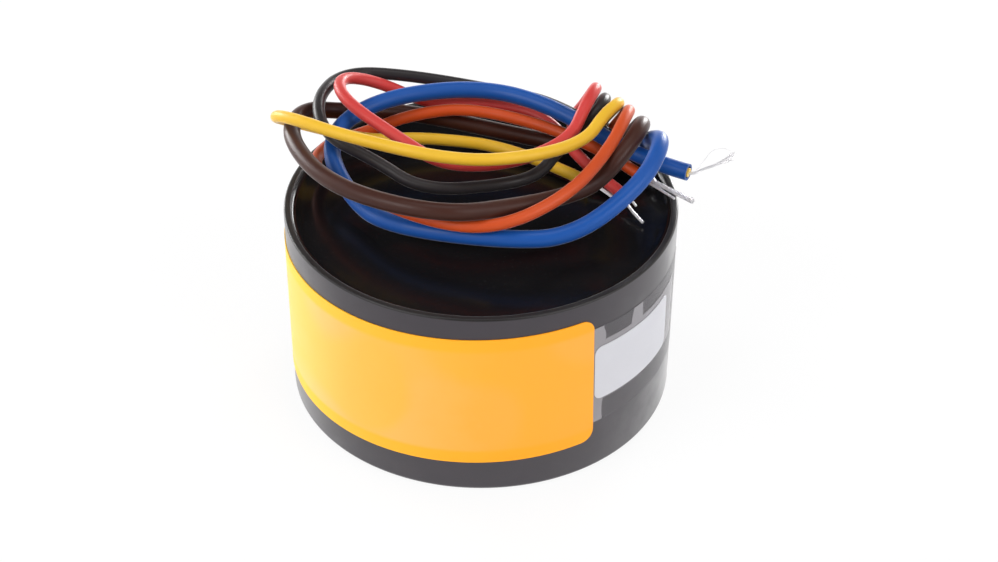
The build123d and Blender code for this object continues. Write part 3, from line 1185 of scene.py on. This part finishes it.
@dataclass
class PottedBody:
    """The cup with everything cast into it, and the labels on its wall."""

    finishes: Finishes
    collar_rise: float = 0.0006
    collar_spread: float = 0.0007
    collar_sides: int = 40
    collar_steps: int = 6
    meniscus_rise: float = 0.00075
    meniscus_width: float = 0.0011
    meniscus_skin: float = 0.00002
    corner_steps: int = 8
    column_angle: float = math.radians(1)

    FINISH_OF: ClassVar[dict[str, str]] = {
        "potting_resin": "cast_resin",
        "mounting_insert": "insert_brass",
        "base_pad": "pressboard",
        "toroidal_core": "core_steel",
        "core_cap_upper": "cap_plastic",
        "core_cap_lower": "cap_plastic",
        "primary_winding": "enamelled_copper",
        "secondary_winding_a": "enamelled_copper",
        "secondary_winding_b": "enamelled_copper",
        "interwinding_tape": "polyester_tape",
        "outer_tape": "polyester_tape",
        "inner_sleeve_blue": "sleeve_yellow",
    }

    def dress(self) -> None:
        """Give every solid that stays in view its finish."""
        for node, finish in self.FINISH_OF.items():
            self.finishes.dress(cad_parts[node], finish)
            LOG.info("%s: %s", node, finish)

    def cup(self) -> None:
        """Turn the cup afresh, with a smoother rim and wall than the solid's mesh."""
        draft = MeshDraft()
        draft.lathe(Vector(), CUP.outline(), CUP.sides)
        cup = draft.finish("case_shell")
        self.finishes.dress(cup, "cup_plastic")
        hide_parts("case")
        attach(cup, BODY)

    def skin(self, patch: WallPatch) -> None:
        """Bend one thin piece round the wall, with smooth edges and round corners.

        Args:
            patch: Where it lies and what it is called.
        """
        draft = MeshDraft()
        corner = patch.corner / patch.outer
        steps = [
            corner * (1 - math.cos(QUARTER * step / self.corner_steps))
            for step in range(self.corner_steps)
        ]
        across = patch.right - patch.left - 2 * corner
        columns = math.ceil(across / self.column_angle)
        angles = {patch.left + step for step in steps}
        angles |= {patch.left + corner + across * n / columns for n in range(columns + 1)}
        angles |= {patch.right - step for step in steps}
        middle_height = (LABEL.bottom + LABEL.top) / 2
        rings = []
        for angle in sorted(angles):
            depth = min(angle - patch.left, patch.right - angle, corner)
            short = patch.corner - depth * patch.outer
            inset = patch.corner - math.sqrt(max(patch.corner**2 - short**2, 0.0))
            low, high = patch.edges(angle, inset)
            ring = []
            for radius, height in (
                (patch.inner, low), (patch.inner, high), (patch.outer, high), (patch.outer, low)
            ):
                lean = (height - middle_height) * math.tan(LABEL_SLOPE) / patch.outer
                turn = angle - lean
                ring.append(Vector((radius * math.sin(turn), -radius * math.cos(turn), height)))
            rings.append(draft.ring(ring))
        draft.bridge(rings)
        draft.cap(rings)
        skin = draft.finish(f"{patch.node}_sheet")
        self.finishes.dress(skin, patch.finish)
        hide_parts(patch.node)
        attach(skin, BODY)
        LOG.info("%s: %d columns", patch.node, len(rings))

    def collars(self, resin_level: float) -> None:
        """Make the fillets of resin that crept up each lead and the wall as it set.

        Args:
            resin_level: Height of the resin's flat surface.
        """
        draft = MeshDraft()
        for lead in LEADS:
            x, y, _ = lead.route[0]
            section = self._collar_outline(lead.diameter / 2)
            draft.lathe(Vector((x, y, resin_level)), section, self.collar_sides)
        draft.lathe(Vector((0, 0, resin_level)), self._meniscus_outline(), CUP.sides)
        collars = draft.finish("resin_collars")
        self.finishes.dress(collars, "cast_resin")
        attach(collars, BODY)

    def _meniscus_outline(self) -> list[Span]:
        """Return the section of the resin that climbed the cup's wall."""
        inner, skin = CUP.bore - self.meniscus_width, self.meniscus_skin
        turn = (self.meniscus_width**2 / self.meniscus_rise + self.meniscus_rise) / 2
        sweep = math.asin(self.meniscus_width / turn)
        outline = [(inner - self.meniscus_width, -skin), (CUP.bore, -skin)]
        for step in range(self.collar_steps, -1, -1):
            angle = sweep * step / self.collar_steps
            rise = turn * (1 - math.cos(angle))
            outline.append((inner + turn * math.sin(angle), skin + rise))
        return outline

    def _collar_outline(self, radius: float) -> list[Span]:
        """Return the concave section between the resin and a lead.

        Args:
            radius: The lead's.

        Returns:
            Points of radius and height.
        """
        buried = self.collar_rise / 2
        outline = [(radius - buried, -buried)]
        for step in range(self.collar_steps + 1):
            angle = QUARTER * step / self.collar_steps
            reach = self.collar_spread * (1 - math.sin(angle))
            outline.append((radius + reach, self.collar_rise * (1 - math.cos(angle))))
        outline.append((radius - buried, self.collar_rise))
        return outline


# ---- Studio --------------------------------------------------------------------------


@dataclass(frozen=True)
class Softbox:
    """A large soft lamp aimed at the part."""

    name: str
    place: Point
    size: Span
    power: float

    def hang(self, target: Vector) -> None:
        """Place the lamp and aim it.

        Args:
            target: Point that it faces.
        """
        lamp = bpy.data.lights.new(self.name, "AREA")
        lamp.shape = "RECTANGLE"
        lamp.size, lamp.size_y = self.size
        lamp.energy = self.power
        holder = in_scene(self.name, lamp)
        holder.location = self.place
        holder.rotation_mode = "QUATERNION"
        toward = target - Vector(self.place)
        holder.rotation_quaternion = toward.to_track_quat("-Z", "Y")


@dataclass
class Studio:
    """Pale floor, soft lamps, plain surroundings and the camera.

    Side, low and horizon limits are the parts of a direction's X and Z over which the
    room turns between its dim colour and white.
    """

    floor_size: float = 6.0
    floor_colour: Colour = (0.86, 0.86, 0.86)
    floor_glow: float = 0.9
    lamps: tuple[Softbox, ...] = (
        Softbox("left_softbox", (-0.55, -0.42, 0.55), (0.5, 0.4), 4.0),
        Softbox("right_softbox", (0.55, -0.42, 0.55), (0.5, 0.4), 3.6),
        Softbox("top_softbox", (0.0, 0.08, 0.8), (0.6, 0.35), 1.9),
        Softbox("left_edge_softbox", (-0.52, 0.44, 0.14), (0.3, 0.25), 3.6),
        Softbox("right_edge_softbox", (0.34, 0.6, 0.14), (0.22, 0.25), 4.4),
    )
    aim: Point = (0.0, 0.0, 0.03)
    side_limits: Span = (0.35, 0.9)
    low_limits: Span = (0.3, 0.8)
    horizon_limits: Span = (0.12, 0.36)
    dim_colour: Colour = (0.045, 0.045, 0.05)
    camera_height: float = 0.26117
    camera_distance: float = 0.31987
    camera_dip: float = math.radians(36.9)
    focal_length: float = 72.5
    sensor: float = 36.0
    shift: Span = (0.018, 0.001)
    clip: Span = (0.01, 50.0)

    def build(self) -> None:
        """Set up the whole studio."""
        self._floor()
        self._surroundings()
        for lamp in self.lamps:
            lamp.hang(Vector(self.aim))
        self._camera()
        bpy.context.scene.view_settings.view_transform = "Standard"

    def _floor(self) -> None:
        """Lay the floor, which shows white but still takes the part's shadow."""
        half = self.floor_size / 2
        mesh = bpy.data.meshes.new("floor")
        corners = [(-half, -half, 0), (half, -half, 0), (half, half, 0), (-half, half, 0)]
        mesh.from_pydata(corners, [], [(0, 1, 2, 3)])
        floor = in_scene("floor", mesh)
        mesh.materials.append(self._floor_paper())

    def _floor_paper(self) -> Material:
        """Make paper that looks nearly white, also in reflections, shadow kept.

        Returns:
            The material.
        """
        surface = Surface.start(
            "floor_paper", Base_Color=self.floor_colour, Roughness=0.9, Specular_IOR_Level=0.1
        )
        sheet = surface.sheet
        glow = sheet.add("Emission", Color=WHITE)
        share = sheet.maths("MULTIPLY", sheet.on_view(mirrored=1.0), self.floor_glow)
        sheet.show(surface.output, share, surface.shader, glow)
        return surface.material

    def _surroundings(self) -> None:
        """Make the room: white at the horizon and on both sides, dim overhead."""
        world = bpy.data.worlds.new("studio_room")
        world.use_nodes = True
        bpy.context.scene.world = world
        sheet = NodeSheet(world.node_tree)
        axes = sheet.axes(sheet.add("TexCoord").outputs["Generated"])
        sideways = sheet.span(sheet.maths("ABSOLUTE", axes["X"]), self.side_limits, RISING)
        low_down = sheet.span(axes["Z"], self.low_limits, FALLING)
        horizon = sheet.span(axes["Z"], self.horizon_limits, FALLING)
        bright = sheet.maths("MAXIMUM", sheet.maths("MULTIPLY", sideways, low_down), horizon)
        room = sheet.blend(bright, self.dim_colour, WHITE)
        lit = sheet.add("Background", Color=room)
        plain = sheet.add("Background", Color=WHITE)
        sheet.show(sheet.add("OutputWorld"), sheet.on_view(mirrored=horizon), lit, plain)

    def _camera(self) -> None:
        """Set the camera in front of the part, looking down at it."""
        lens = bpy.data.cameras.new("camera")
        lens.lens = self.focal_length
        lens.sensor_width = self.sensor
        lens.shift_x, lens.shift_y = self.shift
        lens.clip_start, lens.clip_end = self.clip
        camera = in_scene("camera", lens)
        camera.location = (0.0, -self.camera_distance, self.camera_height)
        camera.rotation_euler = (QUARTER - self.camera_dip, 0.0, 0.0)
        bpy.context.scene.camera = camera


def main() -> None:
    """Build the part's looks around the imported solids, then the studio."""
    logging.basicConfig(level=logging.INFO, format="%(name)s: %(message)s")
    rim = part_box("case")[1].z
    resin_level = rim - CUP.fill_drop
    finishes = Finishes(Effects())
    body = PottedBody(finishes)
    body.dress()
    body.cup()
    for patch in (LABEL, FILM, PATCH):
        body.skin(patch)
    body.collars(resin_level)
    FlyingLeads(finishes, rim, resin_level).build()
    Studio().build()


if __name__ == "__main__":
    main()
